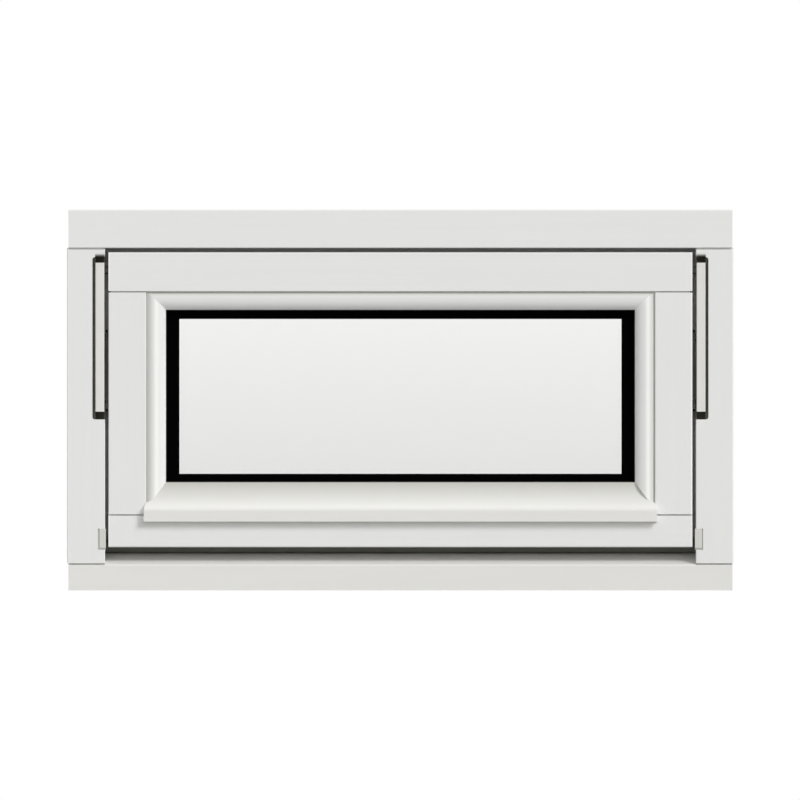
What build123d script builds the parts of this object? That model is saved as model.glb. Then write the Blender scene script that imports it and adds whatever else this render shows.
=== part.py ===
"""A timber pivot window, shut: a frame, a glazed sash and the reversing hinge gear between them.

X runs to the right as seen from outside, Y from outside to the room, Z up. The origin is the
middle of the sill's underside. All sizes are in millimetres.
"""

from build123d import *
import os

os.makedirs("parts", exist_ok=True)

# Frame, measured over the jambs and on the faces seen from outside
frame_width = 788.0
frame_height = 450.0
frame_depth = 115.0
jamb_face = 45.0
head_face = 45.5
sill_face = 30.5
sill_rise = 15.3
jamb_seat = 32.0
jamb_proud = 1.6
arris = 1.5
joint_gap = 1.7
joint_depth = 5.0

# How the sash sits in the frame
side_gap = 4.0
head_gap = 5.0
sill_gap = 5.2
lip_cover = 11.0
sash_setback = 1.5
sash_thickness = 56.0
seal_gap = 3.0

# Sash faces, and the mouldings between them and the glass
stile_face = 44.4
top_rail_face = 47.5
bottom_rail_face = 39.0
rail_groove_size = 4.0
rail_groove_set_in = 9.0
side_bead_width = 23.4
top_bead_width = 20.3
drip_bead_height = 37.7
crest_from_glass = 14.5
crest_foot_drop = 19.9
quirk_foot_drop = 24.0
crest_set_in = 0.4
quirk_depth = 4.0
bead_land = 3.0
room_chamfer = 7.0

# Sealed glazing unit and its seat
glass_setback = 14.0
pane_thickness = 4.0
cavity = 16.0
gasket_thickness = 3.0
gasket_showing = 1.0
gasket_joint = 0.3
side_cover = 7.0
head_cover = 12.0
foot_cover = 12.9
glass_clearance = 5.0
spacer_width = 23.0
setting_block_length = 60.0
setting_block_spacing = 360.0

# Drip bead along the bottom of the glass
nose_reach = 8.0
nose_drop = 8.7
nose_front = 12.2
nose_round_depth = 2.0
nose_round_rise = 4.9
nose_overlap = 2.8
nose_shoulder = 9.7
drip_groove_width = 3.0
drip_groove_depth = 2.0
drip_groove_set_in = 2.5

# Weather seal in the frame's rebate
seal_width = 7.0
seal_round = 1.4
seal_groove_width = 3.0
seal_groove_depth = 5.0
seal_fit = 0.1

# Groove for the lining boards, on the room side of the frame
lining_groove_width = 12.0
lining_groove_depth = 10.0
lining_groove_set_in = 12.0

# Holes for the frame screws
frame_screw_radius = 5.0
frame_screw_spacing = 220.0
frame_screw_from_room = 27.0

# Slot in each jamb for the reversing hinge, and the guide track that stands in it
slot_width = 15.0
slot_length = 191.8
slot_depth = 30.0
slot_below_head = 10.7
slot_corner = 3.0
slot_brow = 5.0
track_width = 10.7
track_length = 176.0
track_above_slot_foot = 9.25
track_set_in = 0.9
track_set_back = 2.5
track_wall = 1.6
track_corner = 1.2
track_mouth = 6.0
track_channel = 12.0

# Hinge gear that runs in the track
pivot_inset = 9.0
slide_fit = 0.2
shoe_length = 18.0
anchor_length = 18.0
pin_radius = 2.5
collar_radius = 4.5
arm_width = 17.0
arm_thickness = 2.8
arm_clearance = 0.6
plate_width = 22.0
plate_thickness = 2.5
plate_overhang = 14.0
plate_screw_radius = 2.2
plate_screw_inset = 7.0
rivet_head = 0.5

# Run-up block at the foot of each jamb
block_width = 9.5
block_height = 25.0
block_depth = 24.0
block_proud = 0.9
block_above_sill = 16.0
block_bevel = 2.4

# Handle on the room side of the bottom rail
rose_width = 28.0
rose_height = 50.0
rose_thickness = 9.0
rose_bevel = 2.5
handle_above_sash = 43.0
neck_reach = 45.0
neck_bend = 14.0
lever_length = 118.0
lever_height = 19.0
lever_thickness = 11.0
lever_bevel = 3.2
lever_end_bevel = 2.0

# Planes of the frame's depth
front = -frame_depth / 2
room = frame_depth / 2
sash_front = front + sash_setback
sash_back = sash_front + sash_thickness
rebate = sash_back + seal_gap

# Outlines of the frame
jamb_outer = frame_width / 2
jamb_inner = jamb_outer - jamb_face
head_bottom = frame_height - head_face
cross_end = jamb_outer - jamb_proud
slope_top = sill_face + sill_rise

# Outlines of the sash
sash_side = jamb_inner - side_gap
sash_top = head_bottom - head_gap
sash_bottom = slope_top + sill_gap
lip_side = sash_side - lip_cover
lip_top = sash_top - lip_cover
lip_bottom = sash_bottom + lip_cover
stile_edge = sash_side - stile_face
top_joint = sash_top - top_rail_face
bottom_joint = sash_bottom + bottom_rail_face

# Sight lines, where the glass begins
sight_side = stile_edge - side_bead_width
sight_top = top_joint - top_bead_width
sight_bottom = bottom_joint + drip_bead_height

# Planes of the glazing
outer_pane_front = sash_front + glass_setback
bead_back = outer_pane_front - gasket_thickness
cavity_front = outer_pane_front + pane_thickness
inner_pane_front = cavity_front + cavity
glass_back = inner_pane_front + pane_thickness
lip_front = glass_back + gasket_thickness
bead_depth = bead_back - sash_front

# Outlines of the glazing unit and of the pocket that it stands in
glass_side = sight_side + side_cover
glass_top = sight_top + head_cover
glass_bottom = sight_bottom - foot_cover
pocket_side = glass_side + glass_clearance
pocket_top = glass_top + glass_clearance
pocket_bottom = glass_bottom - glass_clearance
glass_middle = (glass_top + glass_bottom) / 2

# Centre lines of the weather seal, midway over the covered edge of the sash
seal_side = sash_side - lip_cover / 2
seal_top = sash_top - lip_cover / 2
seal_bottom = sash_bottom + lip_cover / 2

# Places of the hinge gear: the shoe at the top, the anchor at the bottom, the rivet between them
slot_top = head_bottom - slot_below_head
slot_middle = slot_top - slot_length / 2
slot_back = front + slot_depth
track_inner = jamb_inner + track_set_in
track_outer = track_inner + track_width
track_front = front + track_set_back
track_bottom = slot_top - slot_length + track_above_slot_foot
channel_line = (track_front + slot_back) / 2
shoe_height = track_bottom + track_length - pivot_inset
anchor_height = track_bottom + pivot_inset
rivet_height = (shoe_height + anchor_height) / 2
plate_inner = sash_side - plate_thickness
arm_inner = sash_side + arm_clearance
arm_outer = arm_inner + arm_thickness

# Run-up block
block_bottom = jamb_seat + block_above_sill
block_inner = jamb_inner - block_proud

# Handle
handle_height = sash_bottom + handle_above_sash


def box(x_range, y_range, z_range, mode=Mode.ADD):
    """Add or cut a straight block between two values along each axis."""
    size = [high - low for low, high in (x_range, y_range, z_range)]
    centre = tuple((low + high) / 2 for low, high in (x_range, y_range, z_range))
    with Locations(centre):
        Box(*size, mode=mode)


def cylinder_along_x(y, z, x_range, radius):
    """Add a round pin that runs along X."""
    with BuildSketch(Plane.YZ.offset(x_range[0])) as ring:
        with Locations((y, z)):
            Circle(radius)
    extrude(ring.sketch, amount=x_range[1] - x_range[0])


def save_pair(right, name):
    """Label and write the right-hand piece and its mirror image for the left."""
    right.part.label = f"{name}_right"
    export_step(right.part, f"parts/{name}_right.step")
    left = mirror(right.part, about=Plane.YZ)
    left.label = f"{name}_left"
    export_step(left, f"parts/{name}_left.step")


# Rings that are cut from all four frame members once they are shaped
with BuildSketch(Plane.XZ.offset(-room)) as lining_ring:
    lining_wide = frame_width - 2 * lining_groove_set_in
    lining_tall = frame_height - 2 * lining_groove_set_in
    with Locations((0, frame_height / 2)):
        Rectangle(lining_wide, lining_tall)
        Rectangle(
            lining_wide - 2 * lining_groove_width,
            lining_tall - 2 * lining_groove_width,
            mode=Mode.SUBTRACT,
        )

with BuildSketch(Plane.XZ.offset(-rebate)) as seal_ring:
    with Locations((0, (seal_top + seal_bottom) / 2)):
        Rectangle(2 * seal_side + seal_groove_width, seal_top - seal_bottom + seal_groove_width)
        Rectangle(
            2 * seal_side - seal_groove_width,
            seal_top - seal_bottom - seal_groove_width,
            mode=Mode.SUBTRACT,
        )


def cut_frame_rings():
    """Cut the lining groove and the seal groove out of the frame member being built."""
    extrude(lining_ring.sketch, amount=lining_groove_depth, mode=Mode.SUBTRACT)
    extrude(seal_ring.sketch, amount=-seal_groove_depth, mode=Mode.SUBTRACT)


# Frame head: lies over the jambs, with a lip between them that the sash closes against
with BuildPart() as frame_head:
    with BuildSketch(Plane.YZ):
        Polygon(
            (front, head_bottom), (room, head_bottom), (room, frame_height), (front, frame_height),
            align=None,
        )
    extrude(amount=cross_end, both=True)
    fillet(frame_head.edges().filter_by(Axis.X), radius=arris)
    with BuildSketch(Plane.YZ):
        Polygon(
            (rebate, lip_top), (room, lip_top), (room, head_bottom + arris), (rebate, head_bottom + arris),
            align=None,
        )
    extrude(amount=lip_side, both=True)
    lip_edges = frame_head.edges().filter_by(Axis.X).group_by(Axis.Z)[0]
    fillet(lip_edges, radius=arris)
    cut_frame_rings()
frame_head.part.label = "frame_head"
export_step(frame_head.part, "parts/frame_head.step")

# Frame sill: slopes down to the outside between the jambs and stands up behind the sash
with BuildPart() as frame_sill:
    with BuildSketch(Plane.YZ):
        Polygon(
            (front, 0), (front, sill_face), (rebate, slope_top),
            (rebate, jamb_seat), (room, jamb_seat), (room, 0),
            align=None,
        )
    extrude(amount=jamb_inner, both=True)
    front_edges = frame_sill.edges().filter_by(Axis.X).group_by(Axis.Y)[0]
    fillet(front_edges.sort_by(Axis.Z)[-1], radius=arris)
    for end in (-1, 1):
        ends = sorted((end * jamb_inner, end * cross_end))
        box(ends, (front, room), (0, jamb_seat))
        box(ends, (front, front + joint_depth), (jamb_seat - joint_gap, jamb_seat), mode=Mode.SUBTRACT)
    box((-lip_side, lip_side), (rebate, room), (jamb_seat, lip_bottom))
    upstand_edges = frame_sill.edges().filter_by(Axis.X).group_by(Axis.Z)[-1]
    fillet(upstand_edges, radius=arris)
    cut_frame_rings()
frame_sill.part.label = "frame_sill"
export_step(frame_sill.part, "parts/frame_sill.step")

# Frame jambs: stand on the sill under the head, slotted for the hinge and notched for the block
with BuildPart() as frame_jamb:
    with BuildSketch(Plane.XY.offset(jamb_seat)):
        Polygon(
            (jamb_outer, front), (jamb_inner, front), (jamb_inner, rebate),
            (lip_side, rebate), (lip_side, room), (jamb_outer, room),
            align=None,
        )
    extrude(amount=head_bottom - jamb_seat)
    upright_edges = frame_jamb.edges().filter_by(Axis.Z).group_by(Axis.Y)
    fillet(upright_edges[0] + upright_edges[-1], radius=arris)
    with BuildSketch(Plane.XZ.offset(-front)):
        with Locations((jamb_inner, slot_middle)):
            RectangleRounded(2 * slot_width, slot_length, slot_corner)
    extrude(amount=-slot_depth, mode=Mode.SUBTRACT)
    with BuildSketch(Plane.YZ.offset(jamb_inner)):
        with BuildLine():
            brow_curve = TangentArc(
                (front, slot_top + slot_brow), (front + slot_brow, slot_top), tangent=(0, -1)
            )
            Polyline(brow_curve @ 1, (front, slot_top), brow_curve @ 0)
        make_face()
    extrude(amount=slot_width - slot_corner, mode=Mode.SUBTRACT)
    box(
        (jamb_inner, jamb_outer),
        (front, front + joint_depth),
        (head_bottom - joint_gap, head_bottom),
        mode=Mode.SUBTRACT,
    )
    box(
        (jamb_inner, block_inner + block_width),
        (front, front + block_depth),
        (block_bottom, block_bottom + block_height),
        mode=Mode.SUBTRACT,
    )
    screw_origin = (lip_side, room - frame_screw_from_room, frame_height / 2)
    with Locations(Plane(origin=screw_origin, x_dir=(0, 1, 0), z_dir=(-1, 0, 0))):
        with GridLocations(frame_screw_spacing, frame_screw_spacing, 1, 2):
            Hole(frame_screw_radius)
    cut_frame_rings()
save_pair(frame_jamb, "frame_jamb")


def seal_strip(plane, length):
    """One straight weather seal: a rounded bulb against the sash and a stem in its groove."""
    with BuildPart() as strip:
        with BuildSketch(plane) as section:
            with Locations((0, seal_gap / 2)):
                Rectangle(seal_width, seal_gap)
            fillet(section.vertices().group_by(Axis.Y)[0], radius=seal_round)
            with Locations((0, seal_gap + seal_groove_depth / 2)):
                Rectangle(seal_groove_width - 2 * seal_fit, seal_groove_depth)
        extrude(amount=length / 2, both=True)
    return strip


# Weather seals: the head and sill strips run through, the jamb strips fit between them
across_length = 2 * seal_side + seal_groove_width
upright_length = seal_top - seal_bottom - seal_width
seal_middle = (seal_top + seal_bottom) / 2

head_plane = Plane(origin=(0, sash_back, seal_top), x_dir=(0, 0, 1), z_dir=(-1, 0, 0))
seal_head = seal_strip(head_plane, across_length)
seal_head.part.label = "seal_head"
export_step(seal_head.part, "parts/seal_head.step")

sill_plane = Plane(origin=(0, sash_back, seal_bottom), x_dir=(0, 0, 1), z_dir=(-1, 0, 0))
seal_sill = seal_strip(sill_plane, across_length)
seal_sill.part.label = "seal_sill"
export_step(seal_sill.part, "parts/seal_sill.step")

jamb_plane = Plane(origin=(seal_side, sash_back, seal_middle), x_dir=(1, 0, 0), z_dir=(0, 0, 1))
seal_jamb = seal_strip(jamb_plane, upright_length)
save_pair(seal_jamb, "seal_jamb")

# Section of the stiles, seen from above; the rails are scribed over it
with BuildSketch(Plane.XY.offset(bottom_joint)) as stile_outline:
    Polygon(
        (sash_side, sash_front), (stile_edge, sash_front), (stile_edge, bead_back),
        (pocket_side, bead_back), (pocket_side, lip_front), (sight_side, lip_front),
        (sight_side, sash_back - room_chamfer), (sight_side + room_chamfer, sash_back),
        (sash_side, sash_back),
        align=None,
    )

# Outline of the hinge plate, which is let into the side of each stile
plate_length = shoe_height - anchor_height + 2 * plate_overhang
with BuildSketch(Plane.YZ.offset(plate_inner)) as plate_outline:
    with Locations((channel_line, rivet_height)):
        SlotOverall(plate_length, plate_width, rotation=90)

# Sash stiles: stand between the rails
with BuildPart() as sash_stile:
    extrude(stile_outline.sketch, amount=top_joint - bottom_joint)
    stile_fronts = sash_stile.edges().filter_by(Axis.Z).group_by(Axis.Y)[0]
    fillet(stile_fronts, radius=arris)
    outer_back = sash_stile.edges().filter_by(Axis.Z).group_by(Axis.Y)[-1].sort_by(Axis.X)[-1]
    fillet(outer_back, radius=arris)
    extrude(plate_outline.sketch, amount=plate_thickness, mode=Mode.SUBTRACT)
save_pair(sash_stile, "sash_stile")

# Sash top rail: one half is shaped, scribed over the stile and mirrored
with BuildPart() as sash_top_rail:
    box((0, sash_side), (sash_front, sash_back), (top_joint, sash_top))
    with BuildSketch(Plane.YZ):
        Polygon(
            (bead_back, top_joint), (bead_back, pocket_top), (lip_front, pocket_top),
            (lip_front, sight_top), (sash_back - room_chamfer, sight_top),
            (sash_back, sight_top + room_chamfer), (sash_back, top_joint),
            align=None,
        )
    extrude(amount=sight_side + room_chamfer)
    extrude(stile_outline.sketch, amount=top_joint - bottom_joint, mode=Mode.SUBTRACT)
    along = sash_top_rail.edges().filter_by(Axis.X)
    fillet(along.group_by(Axis.Z)[-1], radius=arris)
    box(
        (0, sash_side),
        (sash_front, sash_front + joint_depth),
        (top_joint, top_joint + joint_gap),
        mode=Mode.SUBTRACT,
    )
    extrude(plate_outline.sketch, amount=plate_thickness, mode=Mode.SUBTRACT)
    mirror(about=Plane.YZ)
sash_top_rail.part.label = "sash_top_rail"
export_step(sash_top_rail.part, "parts/sash_top_rail.step")

# Sash bottom rail: made in the same way, with a drip groove along its underside
with BuildPart() as sash_bottom_rail:
    box((0, sash_side), (sash_front, sash_back), (sash_bottom, bottom_joint))
    with BuildSketch(Plane.YZ):
        Polygon(
            (bead_back, bottom_joint), (bead_back, pocket_bottom), (lip_front, pocket_bottom),
            (lip_front, sight_bottom), (sash_back - room_chamfer, sight_bottom),
            (sash_back, sight_bottom - room_chamfer), (sash_back, bottom_joint),
            align=None,
        )
    extrude(amount=sight_side + room_chamfer)
    extrude(stile_outline.sketch, amount=top_joint - bottom_joint, mode=Mode.SUBTRACT)
    along = sash_bottom_rail.edges().filter_by(Axis.X)
    fillet(along.group_by(Axis.Z)[0], radius=arris)
    box(
        (stile_edge, sash_side),
        (sash_front, sash_front + joint_depth),
        (bottom_joint - joint_gap, bottom_joint),
        mode=Mode.SUBTRACT,
    )
    rail_groove_front = sash_front + rail_groove_set_in
    box(
        (0, sash_side),
        (rail_groove_front, rail_groove_front + rail_groove_size),
        (sash_bottom, sash_bottom + rail_groove_size),
        mode=Mode.SUBTRACT,
    )
    mirror(about=Plane.YZ)
sash_bottom_rail.part.label = "sash_bottom_rail"
export_step(sash_bottom_rail.part, "parts/sash_bottom_rail.step")

# The mitres between the beads, seen from outside: from the glass to the crest, then to the quirk
head_mitre = (
    (sight_side, sight_top),
    (sight_side + crest_from_glass, sight_top + crest_from_glass),
    (stile_edge, top_joint),
)
foot_mitre = (
    (sight_side, sight_bottom),
    (sight_side + crest_from_glass, sight_bottom - crest_foot_drop),
    (stile_edge, sight_bottom - quirk_foot_drop),
)

# Section of the drip bead: a hanging nose, rounded over into a hollow slope up to the glass
nose_front_plane = sash_front - nose_reach
nose_bottom = bottom_joint - nose_drop
nose_top = nose_bottom + nose_front
with BuildSketch(Plane.YZ) as drip_outline:
    with BuildLine():
        nose_curve = TangentArc(
            (nose_front_plane, nose_top),
            (nose_front_plane + nose_round_depth, nose_top + nose_round_rise),
            tangent=(0, 1),
        )
        hollow = TangentArc(nose_curve @ 1, (bead_back - bead_land, sight_bottom), tangent=nose_curve % 1)
        Polyline(
            hollow @ 1, (bead_back, sight_bottom), (bead_back, bottom_joint), (sash_front, bottom_joint),
            (sash_front, nose_bottom), (nose_front_plane, nose_bottom), nose_curve @ 0,
        )
    make_face()

# Drip bead: closes the bottom of the glazing and throws the water clear of the bottom rail
with BuildPart() as drip_bead:
    extrude(drip_outline.sketch, amount=stile_edge + nose_overlap)
    box(
        (stile_edge, stile_edge + nose_overlap),
        (sash_front, bead_back),
        (nose_bottom, sight_bottom),
        mode=Mode.SUBTRACT,
    )
    with BuildSketch(Plane.XZ):
        with BuildLine():
            end_curve = TangentArc(
                (stile_edge + nose_overlap, nose_top),
                (stile_edge, nose_top + nose_shoulder),
                tangent=(0, 1),
            )
            Polyline(
                end_curve @ 1, (stile_edge, sight_bottom),
                (stile_edge + nose_overlap, sight_bottom), end_curve @ 0,
            )
        make_face()
        Polygon(*foot_mitre, (stile_edge, sight_bottom), align=None)
    extrude(amount=frame_depth, mode=Mode.SUBTRACT)
    drip_groove_front = nose_front_plane + drip_groove_set_in
    box(
        (0, stile_edge + nose_overlap),
        (drip_groove_front, drip_groove_front + drip_groove_width),
        (nose_bottom, nose_bottom + drip_groove_depth),
        mode=Mode.SUBTRACT,
    )
    mirror(about=Plane.YZ)
drip_bead.part.label = "drip_bead"
export_step(drip_bead.part, "parts/drip_bead.step")


def moulding_outline(plane, width):
    """Section of a glazing bead: round from its outer quirk to the crest, then down to the glass."""
    with BuildSketch(plane) as section:
        with BuildLine():
            crest = (crest_from_glass, bead_depth - crest_set_in)
            outer_curve = TangentArc(crest, (width, bead_depth - quirk_depth), tangent=(1, 0))
            inner_curve = TangentArc(crest, (0, bead_land), tangent=(-1, 0))
            Polyline(outer_curve @ 1, (width, 0), (0, 0), inner_curve @ 1)
        make_face()
    return section.sketch


# Side beads: mitred to the top bead and to the drip bead
with BuildPart() as bead_side:
    side_plane = Plane(origin=(sight_side, bead_back, top_joint), x_dir=(1, 0, 0), z_dir=(0, 0, -1))
    extrude(moulding_outline(side_plane, side_bead_width), amount=top_joint - bottom_joint)
    with BuildSketch(Plane.XZ):
        Polygon(*head_mitre, (sight_side, top_joint), align=None)
        Polygon(*foot_mitre, (stile_edge, bottom_joint), (sight_side, bottom_joint), align=None)
    extrude(amount=frame_depth, mode=Mode.SUBTRACT)
save_pair(bead_side, "bead")

# Top bead: the same moulding, cut narrower along its outer edge
with BuildPart() as bead_top:
    top_plane = Plane(origin=(0, bead_back, sight_top), x_dir=(0, 0, 1), z_dir=(1, 0, 0))
    extrude(moulding_outline(top_plane, top_bead_width), amount=stile_edge)
    with BuildSketch(Plane.XZ):
        Polygon(*head_mitre, (stile_edge, sight_top), align=None)
    extrude(amount=frame_depth, mode=Mode.SUBTRACT)
    mirror(about=Plane.YZ)
bead_top.part.label = "bead_top"
export_step(bead_top.part, "parts/bead_top.step")

# Sealed glazing unit: two panes with a black spacer around their edge
with BuildPart() as outer_pane:
    box((-glass_side, glass_side), (outer_pane_front, cavity_front), (glass_bottom, glass_top))
outer_pane.part.label = "outer_pane"
export_step(outer_pane.part, "parts/outer_pane.step")

with BuildPart() as inner_pane:
    box((-glass_side, glass_side), (inner_pane_front, glass_back), (glass_bottom, glass_top))
inner_pane.part.label = "inner_pane"
export_step(inner_pane.part, "parts/inner_pane.step")

with BuildPart() as edge_spacer:
    with BuildSketch(Plane.XZ.offset(-inner_pane_front)):
        with Locations((0, glass_middle)):
            Rectangle(2 * glass_side, glass_top - glass_bottom)
            Rectangle(
                2 * (glass_side - spacer_width),
                glass_top - glass_bottom - 2 * spacer_width,
                mode=Mode.SUBTRACT,
            )
    extrude(amount=cavity)
edge_spacer.part.label = "edge_spacer"
export_step(edge_spacer.part, "parts/edge_spacer.step")


def glazing_gasket(y_range):
    """Four straight gasket strips round the glass, between two depths."""
    inner_side = sight_side - gasket_showing
    inner_top = sight_top - gasket_showing
    inner_bottom = sight_bottom + gasket_showing
    with BuildPart() as strips:
        box((-glass_side, glass_side), y_range, (inner_top, glass_top))
        box((-glass_side, glass_side), y_range, (glass_bottom, inner_bottom))
        upright = (inner_bottom + gasket_joint, inner_top - gasket_joint)
        box((inner_side, glass_side), y_range, upright)
        box((-glass_side, -inner_side), y_range, upright)
    return strips


outer_gasket = glazing_gasket((bead_back, outer_pane_front))
outer_gasket.part.label = "outer_gasket"
export_step(outer_gasket.part, "parts/outer_gasket.step")

inner_gasket = glazing_gasket((glass_back, lip_front))
inner_gasket.part.label = "inner_gasket"
export_step(inner_gasket.part, "parts/inner_gasket.step")

# Setting blocks: carry the glazing unit on the bottom rail
with BuildPart() as setting_blocks:
    block_centre = (0, (outer_pane_front + glass_back) / 2, (pocket_bottom + glass_bottom) / 2)
    with Locations(block_centre):
        with GridLocations(setting_block_spacing, 0, 2, 1):
            Box(setting_block_length, glass_back - outer_pane_front, glass_bottom - pocket_bottom)
setting_blocks.part.label = "setting_blocks"
export_step(setting_blocks.part, "parts/setting_blocks.step")

# Guide track: an extrusion in the jamb's slot, with a channel that opens towards the sash
with BuildPart() as guide_track:
    with BuildSketch(Plane.XY.offset(track_bottom)) as section:
        with Locations(((track_inner + track_outer) / 2, channel_line)):
            Rectangle(track_width, slot_back - track_front)
            fillet(section.vertices().group_by(Axis.Y)[0], radius=track_corner)
            Rectangle(track_width - 2 * track_wall, track_channel, mode=Mode.SUBTRACT)
        with Locations((track_inner + track_wall / 2, channel_line)):
            Rectangle(track_wall, track_mouth, mode=Mode.SUBTRACT)
        chamber_depth = (slot_back - track_front - track_channel) / 2 - 2 * track_wall
        chamber_offset = (track_channel + chamber_depth) / 2 + track_wall
        for end in (-1, 1):
            with Locations(((track_inner + track_outer) / 2, channel_line + end * chamber_offset)):
                Rectangle(track_width - 2 * track_wall, chamber_depth, mode=Mode.SUBTRACT)
    extrude(amount=track_length)
save_pair(guide_track, "guide_track")

channel_inner = track_inner + track_wall + slide_fit
channel_outer = track_outer - track_wall - slide_fit
channel_half = track_channel / 2 - slide_fit


def channel_block(height, length):
    """Add a block that fits the track's channel, centred at one height."""
    box(
        (channel_inner, channel_outer),
        (channel_line - channel_half, channel_line + channel_half),
        (height - length / 2, height + length / 2),
    )


# Slide shoe: runs in the channel and carries the top of the sash plate on its pin
with BuildPart() as slide_shoe:
    channel_block(shoe_height, shoe_length)
    cylinder_along_x(channel_line, shoe_height, (plate_inner, channel_inner), pin_radius)
    cylinder_along_x(channel_line, shoe_height, (sash_side, track_inner - slide_fit), collar_radius)
save_pair(slide_shoe, "slide_shoe")

# Arm anchor: fixed in the foot of the channel, with the pin that the support arm turns on
with BuildPart() as arm_anchor:
    channel_block(anchor_height, anchor_length)
    cylinder_along_x(channel_line, anchor_height, (arm_inner, channel_inner), pin_radius)
    cylinder_along_x(channel_line, anchor_height, (arm_inner - rivet_head, arm_inner), collar_radius)
    cylinder_along_x(channel_line, anchor_height, (arm_outer, track_inner - slide_fit), collar_radius)
save_pair(arm_anchor, "arm_anchor")

# Support arm: a flat bar from the anchor on the jamb to the rivet on the sash plate
with BuildPart() as support_arm:
    with BuildSketch(Plane.YZ.offset(arm_inner)):
        with Locations((channel_line, (rivet_height + anchor_height) / 2)):
            SlotCenterToCenter(rivet_height - anchor_height, arm_width, rotation=90)
        with Locations((channel_line, rivet_height), (channel_line, anchor_height)):
            Circle(pin_radius, mode=Mode.SUBTRACT)
    extrude(amount=arm_thickness)
save_pair(support_arm, "support_arm")

# Sash plate: let into the stile, with the shoe's pin through it and the arm riveted to its middle
with BuildPart() as sash_plate:
    extrude(plate_outline.sketch, amount=plate_thickness)
    with BuildSketch(Plane.YZ.offset(plate_inner)):
        with Locations((channel_line, shoe_height)):
            Circle(pin_radius)
        screw_half_span = plate_length / 2 - plate_screw_inset
        quarter_span = screw_half_span / 2
        for step in (-2, -1, 1, 2):
            with Locations((channel_line, rivet_height + step * quarter_span)):
                Circle(plate_screw_radius)
    extrude(amount=plate_thickness, mode=Mode.SUBTRACT)
    cylinder_along_x(channel_line, rivet_height, (sash_side, arm_inner), collar_radius)
    cylinder_along_x(channel_line, rivet_height, (arm_inner, arm_outer), pin_radius)
    cylinder_along_x(channel_line, rivet_height, (arm_outer, arm_outer + rivet_head), collar_radius)
save_pair(sash_plate, "sash_plate")

# Run-up block: let into the foot of the jamb, bevelled along its outer and lower edges
with BuildPart() as run_up_block:
    box(
        (block_inner, block_inner + block_width),
        (front, front + block_depth),
        (block_bottom, block_bottom + block_height),
    )
    upright_bevel = run_up_block.edges().filter_by(Axis.Z).group_by(Axis.Y)[0].sort_by(Axis.X)[-1]
    lower_bevel = run_up_block.edges().filter_by(Axis.X).group_by(Axis.Y)[0].sort_by(Axis.Z)[0]
    chamfer([upright_bevel, lower_bevel], length=block_bevel)
save_pair(run_up_block, "run_up_block")

# Handle rose: an upright oval plate on the room side of the bottom rail
with BuildPart() as handle_rose:
    with BuildSketch(Plane.XZ.offset(-sash_back)):
        with Locations((0, handle_height)):
            SlotOverall(rose_height, rose_width, rotation=90)
    extrude(amount=-rose_thickness)
    chamfer(handle_rose.faces().sort_by(Axis.Y)[-1].edges(), length=rose_bevel)
handle_rose.part.label = "handle_rose"
export_step(handle_rose.part, "parts/handle_rose.step")

# Handle lever: one bar that leaves the rose square and bends to lie along the rail
with BuildPart() as handle_lever:
    rose_front = sash_back + rose_thickness
    lever_line = sash_back + neck_reach
    with BuildLine(Plane.XY.offset(handle_height)) as route:
        FilletPolyline(
            (0, rose_front), (0, lever_line), (lever_length, lever_line),
            radius=neck_bend,
        )
    lever_plane = Plane(origin=(0, rose_front, handle_height), x_dir=(0, 0, 1), z_dir=(0, 1, 0))
    with BuildSketch(lever_plane) as lever_section:
        Rectangle(lever_height, lever_thickness)
        chamfer(lever_section.vertices(), length=lever_bevel)
    sweep(path=route.line)
    chamfer(handle_lever.faces().sort_by(Axis.X)[-1].edges(), length=lever_end_bevel)
handle_lever.part.label = "handle_lever"
export_step(handle_lever.part, "parts/handle_lever.step")
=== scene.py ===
# %% [markdown]
# A small white timber pivot window, shut, seen square on from outside. The joinery and the hinge gear
# come in as exact solids. What is left for Blender is the finish of every surface, and the soft rubber,
# the cast handle and the small screws, which are easier to make as surfaces than as solids.

# %% Load the solids
import bpy
import math
import numpy as np
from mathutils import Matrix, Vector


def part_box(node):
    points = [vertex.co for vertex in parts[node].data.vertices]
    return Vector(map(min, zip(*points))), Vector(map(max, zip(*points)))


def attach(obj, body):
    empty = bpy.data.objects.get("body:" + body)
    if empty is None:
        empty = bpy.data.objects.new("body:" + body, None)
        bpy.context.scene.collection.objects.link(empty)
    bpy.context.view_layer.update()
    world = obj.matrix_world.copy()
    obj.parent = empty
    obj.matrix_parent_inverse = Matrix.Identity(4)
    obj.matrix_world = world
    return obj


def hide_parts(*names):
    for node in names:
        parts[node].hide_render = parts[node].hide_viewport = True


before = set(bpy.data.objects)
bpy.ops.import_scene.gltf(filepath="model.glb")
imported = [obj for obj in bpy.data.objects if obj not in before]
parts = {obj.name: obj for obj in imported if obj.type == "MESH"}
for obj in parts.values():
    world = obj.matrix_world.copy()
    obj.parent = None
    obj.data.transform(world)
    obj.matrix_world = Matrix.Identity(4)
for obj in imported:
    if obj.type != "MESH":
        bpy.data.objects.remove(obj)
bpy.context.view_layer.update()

# %% [markdown]
# Everything added below takes its place from the solids, so the few places that are used often get a
# name here: the sight lines, inside which glass shows, and the side of the sash.

# %% Places read from the solids
millimetre = 0.001
bead_low, bead_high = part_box("bead_right")
bead_top_low, bead_top_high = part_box("bead_top")

sight_half_width = bead_low.x
sight_top, sight_bottom = bead_top_low.z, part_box("drip_bead")[1].z
sight_half_height = (sight_top - sight_bottom) / 2
sight_middle = (sight_top + sight_bottom) / 2
sash_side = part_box("sash_top_rail")[1].x
print("glass shows", round(2 * sight_half_width, 4), "by", round(2 * sight_half_height, 4), "m")

# %% [markdown]
# White paint on a white ground needs its tones kept as they are. The Standard view transform passes
# them through; the filmic ones would grey the whites and flatten the mouldings.

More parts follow.
